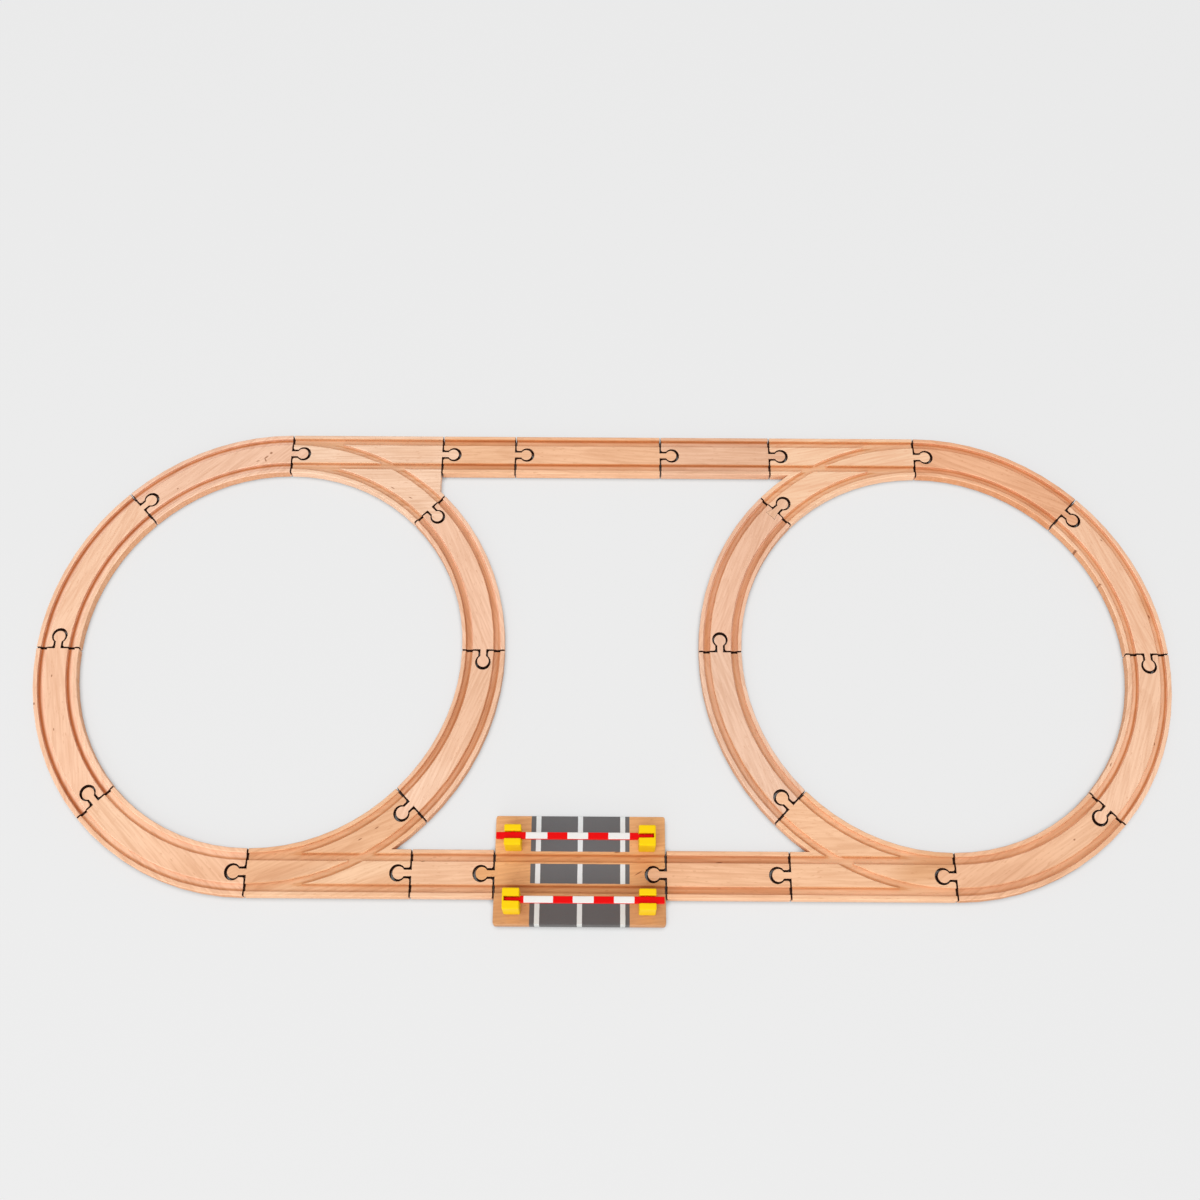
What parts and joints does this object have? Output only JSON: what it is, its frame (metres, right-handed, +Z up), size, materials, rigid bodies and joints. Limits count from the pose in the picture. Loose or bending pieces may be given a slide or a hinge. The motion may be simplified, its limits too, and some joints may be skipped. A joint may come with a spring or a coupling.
{
  "type": "wooden toy train track",
  "caption": "Closed layout of grooved wooden toy track: rings and straight runs joined by pegs and sockets, with turnouts and a level crossing whose barrier arms lift.",
  "frame": {"origin": "centre of the layout's box in plan, on the floor under the track", "axes": "+X along the straight runs, +Y across the layout from the run with the level crossing to the other run, +Z up out of the grooved faces"},
  "size_m": [1.0626, 0.4622, 0.0419],
  "materials": {
    "pale_beech": "smooth sanded beech, pale, thin matt varnish",
    "warm_beech": "smooth sanded beech, warm, thin matt varnish",
    "pink_beech": "smooth sanded beech, pinkish, thin matt varnish",
    "honey_beech": "smooth sanded beech, honey toned, thin matt varnish",
    "tan_beech": "smooth sanded beech, tan, with a painted grey road and white lines",
    "yellow_plastic": "moulded yellow plastic, glossy",
    "red_plastic": "moulded red plastic with white painted bands, glossy"
  },
  "bodies": {
    "crossing": {"level_crossing_board": "tan_beech", "north_pivot_post": "yellow_plastic", "north_rest_post": "yellow_plastic", "south_pivot_post": "yellow_plastic", "south_rest_post": "yellow_plastic"},
    "north_barrier_arm": {"north_barrier_arm": "red_plastic"},
    "south_barrier_arm": {"south_barrier_arm": "red_plastic"},
    "left_curve_1": {"left_curve_1": "pale_beech"},
    "left_curve_2": {"left_curve_2": "pink_beech"},
    "left_curve_3": {"left_curve_3": "warm_beech"},
    "left_curve_4": {"left_curve_4": "warm_beech"},
    "left_curve_5": {"left_curve_5": "pale_beech"},
    "left_curve_6": {"left_curve_6": "pale_beech"},
    "right_curve_1": {"right_curve_1": "pale_beech"},
    "right_curve_2": {"right_curve_2": "pale_beech"},
    "right_curve_3": {"right_curve_3": "warm_beech"},
    "right_curve_4": {"right_curve_4": "warm_beech"},
    "right_curve_5": {"right_curve_5": "pink_beech"},
    "right_curve_6": {"right_curve_6": "pale_beech", "inlaid_peg": "pale_beech"},
    "top_left_turnout": {"top_left_turnout": "warm_beech"},
    "top_right_turnout": {"top_right_turnout": "pale_beech"},
    "bottom_left_turnout": {"bottom_left_turnout": "honey_beech"},
    "bottom_right_turnout": {"bottom_right_turnout": "pale_beech"},
    "top_short_straight": {"top_short_straight": "warm_beech"},
    "top_long_straight": {"top_long_straight": "warm_beech"},
    "top_medium_straight": {"top_medium_straight": "pink_beech"},
    "bottom_short_straight": {"bottom_short_straight": "warm_beech"},
    "bottom_medium_straight": {"bottom_medium_straight": "warm_beech"}
  },
  "joints": [
    {"name": "north_arm_hinge", "type": "hinge", "parent": "crossing", "child": "north_barrier_arm", "pos_m": [-0.0766, -0.16174, 0.03542], "axis": [0, -1, 0], "range_deg": [0, 85]},
    {"name": "south_arm_hinge", "type": "hinge", "parent": "crossing", "child": "south_barrier_arm", "pos_m": [0.0406, -0.21434, 0.03542], "axis": [0, 1, 0], "range_deg": [0, 85]},
    {"name": "left_curve_1_lift", "type": "slide", "parent": "crossing", "child": "left_curve_1", "axis": [0, 0, 1], "range_m": [0, 0.025]},
    {"name": "left_curve_2_lift", "type": "slide", "parent": "crossing", "child": "left_curve_2", "axis": [0, 0, 1], "range_m": [0, 0.025]},
    {"name": "left_curve_3_lift", "type": "slide", "parent": "crossing", "child": "left_curve_3", "axis": [0, 0, 1], "range_m": [0, 0.025]},
    {"name": "left_curve_4_lift", "type": "slide", "parent": "crossing", "child": "left_curve_4", "axis": [0, 0, 1], "range_m": [0, 0.025]},
    {"name": "left_curve_5_lift", "type": "slide", "parent": "crossing", "child": "left_curve_5", "axis": [0, 0, 1], "range_m": [0, 0.025]},
    {"name": "left_curve_6_lift", "type": "slide", "parent": "crossing", "child": "left_curve_6", "axis": [0, 0, 1], "range_m": [0, 0.025]},
    {"name": "right_curve_1_lift", "type": "slide", "parent": "crossing", "child": "right_curve_1", "axis": [0, 0, 1], "range_m": [0, 0.025]},
    {"name": "right_curve_2_lift", "type": "slide", "parent": "crossing", "child": "right_curve_2", "axis": [0, 0, 1], "range_m": [0, 0.025]},
    {"name": "right_curve_3_lift", "type": "slide", "parent": "crossing", "child": "right_curve_3", "axis": [0, 0, 1], "range_m": [0, 0.025]},
    {"name": "right_curve_4_lift", "type": "slide", "parent": "crossing", "child": "right_curve_4", "axis": [0, 0, 1], "range_m": [0, 0.025]},
    {"name": "right_curve_5_lift", "type": "slide", "parent": "crossing", "child": "right_curve_5", "axis": [0, 0, 1], "range_m": [0, 0.025]},
    {"name": "right_curve_6_lift", "type": "slide", "parent": "crossing", "child": "right_curve_6", "axis": [0, 0, 1], "range_m": [0, 0.025]},
    {"name": "top_left_turnout_lift", "type": "slide", "parent": "crossing", "child": "top_left_turnout", "axis": [0, 0, 1], "range_m": [0, 0.025]},
    {"name": "top_right_turnout_lift", "type": "slide", "parent": "crossing", "child": "top_right_turnout", "axis": [0, 0, 1], "range_m": [0, 0.025]},
    {"name": "bottom_left_turnout_lift", "type": "slide", "parent": "crossing", "child": "bottom_left_turnout", "axis": [0, 0, 1], "range_m": [0, 0.025]},
    {"name": "bottom_right_turnout_lift", "type": "slide", "parent": "crossing", "child": "bottom_right_turnout", "axis": [0, 0, 1], "range_m": [0, 0.025]},
    {"name": "top_short_straight_lift", "type": "slide", "parent": "crossing", "child": "top_short_straight", "axis": [0, 0, 1], "range_m": [0, 0.025]},
    {"name": "top_long_straight_lift", "type": "slide", "parent": "crossing", "child": "top_long_straight", "axis": [0, 0, 1], "range_m": [0, 0.025]},
    {"name": "top_medium_straight_lift", "type": "slide", "parent": "crossing", "child": "top_medium_straight", "axis": [0, 0, 1], "range_m": [0, 0.025]},
    {"name": "bottom_short_straight_lift", "type": "slide", "parent": "crossing", "child": "bottom_short_straight", "axis": [0, 0, 1], "range_m": [0, 0.025]},
    {"name": "bottom_medium_straight_lift", "type": "slide", "parent": "crossing", "child": "bottom_medium_straight", "axis": [0, 0, 1], "range_m": [0, 0.025]}
  ]
}
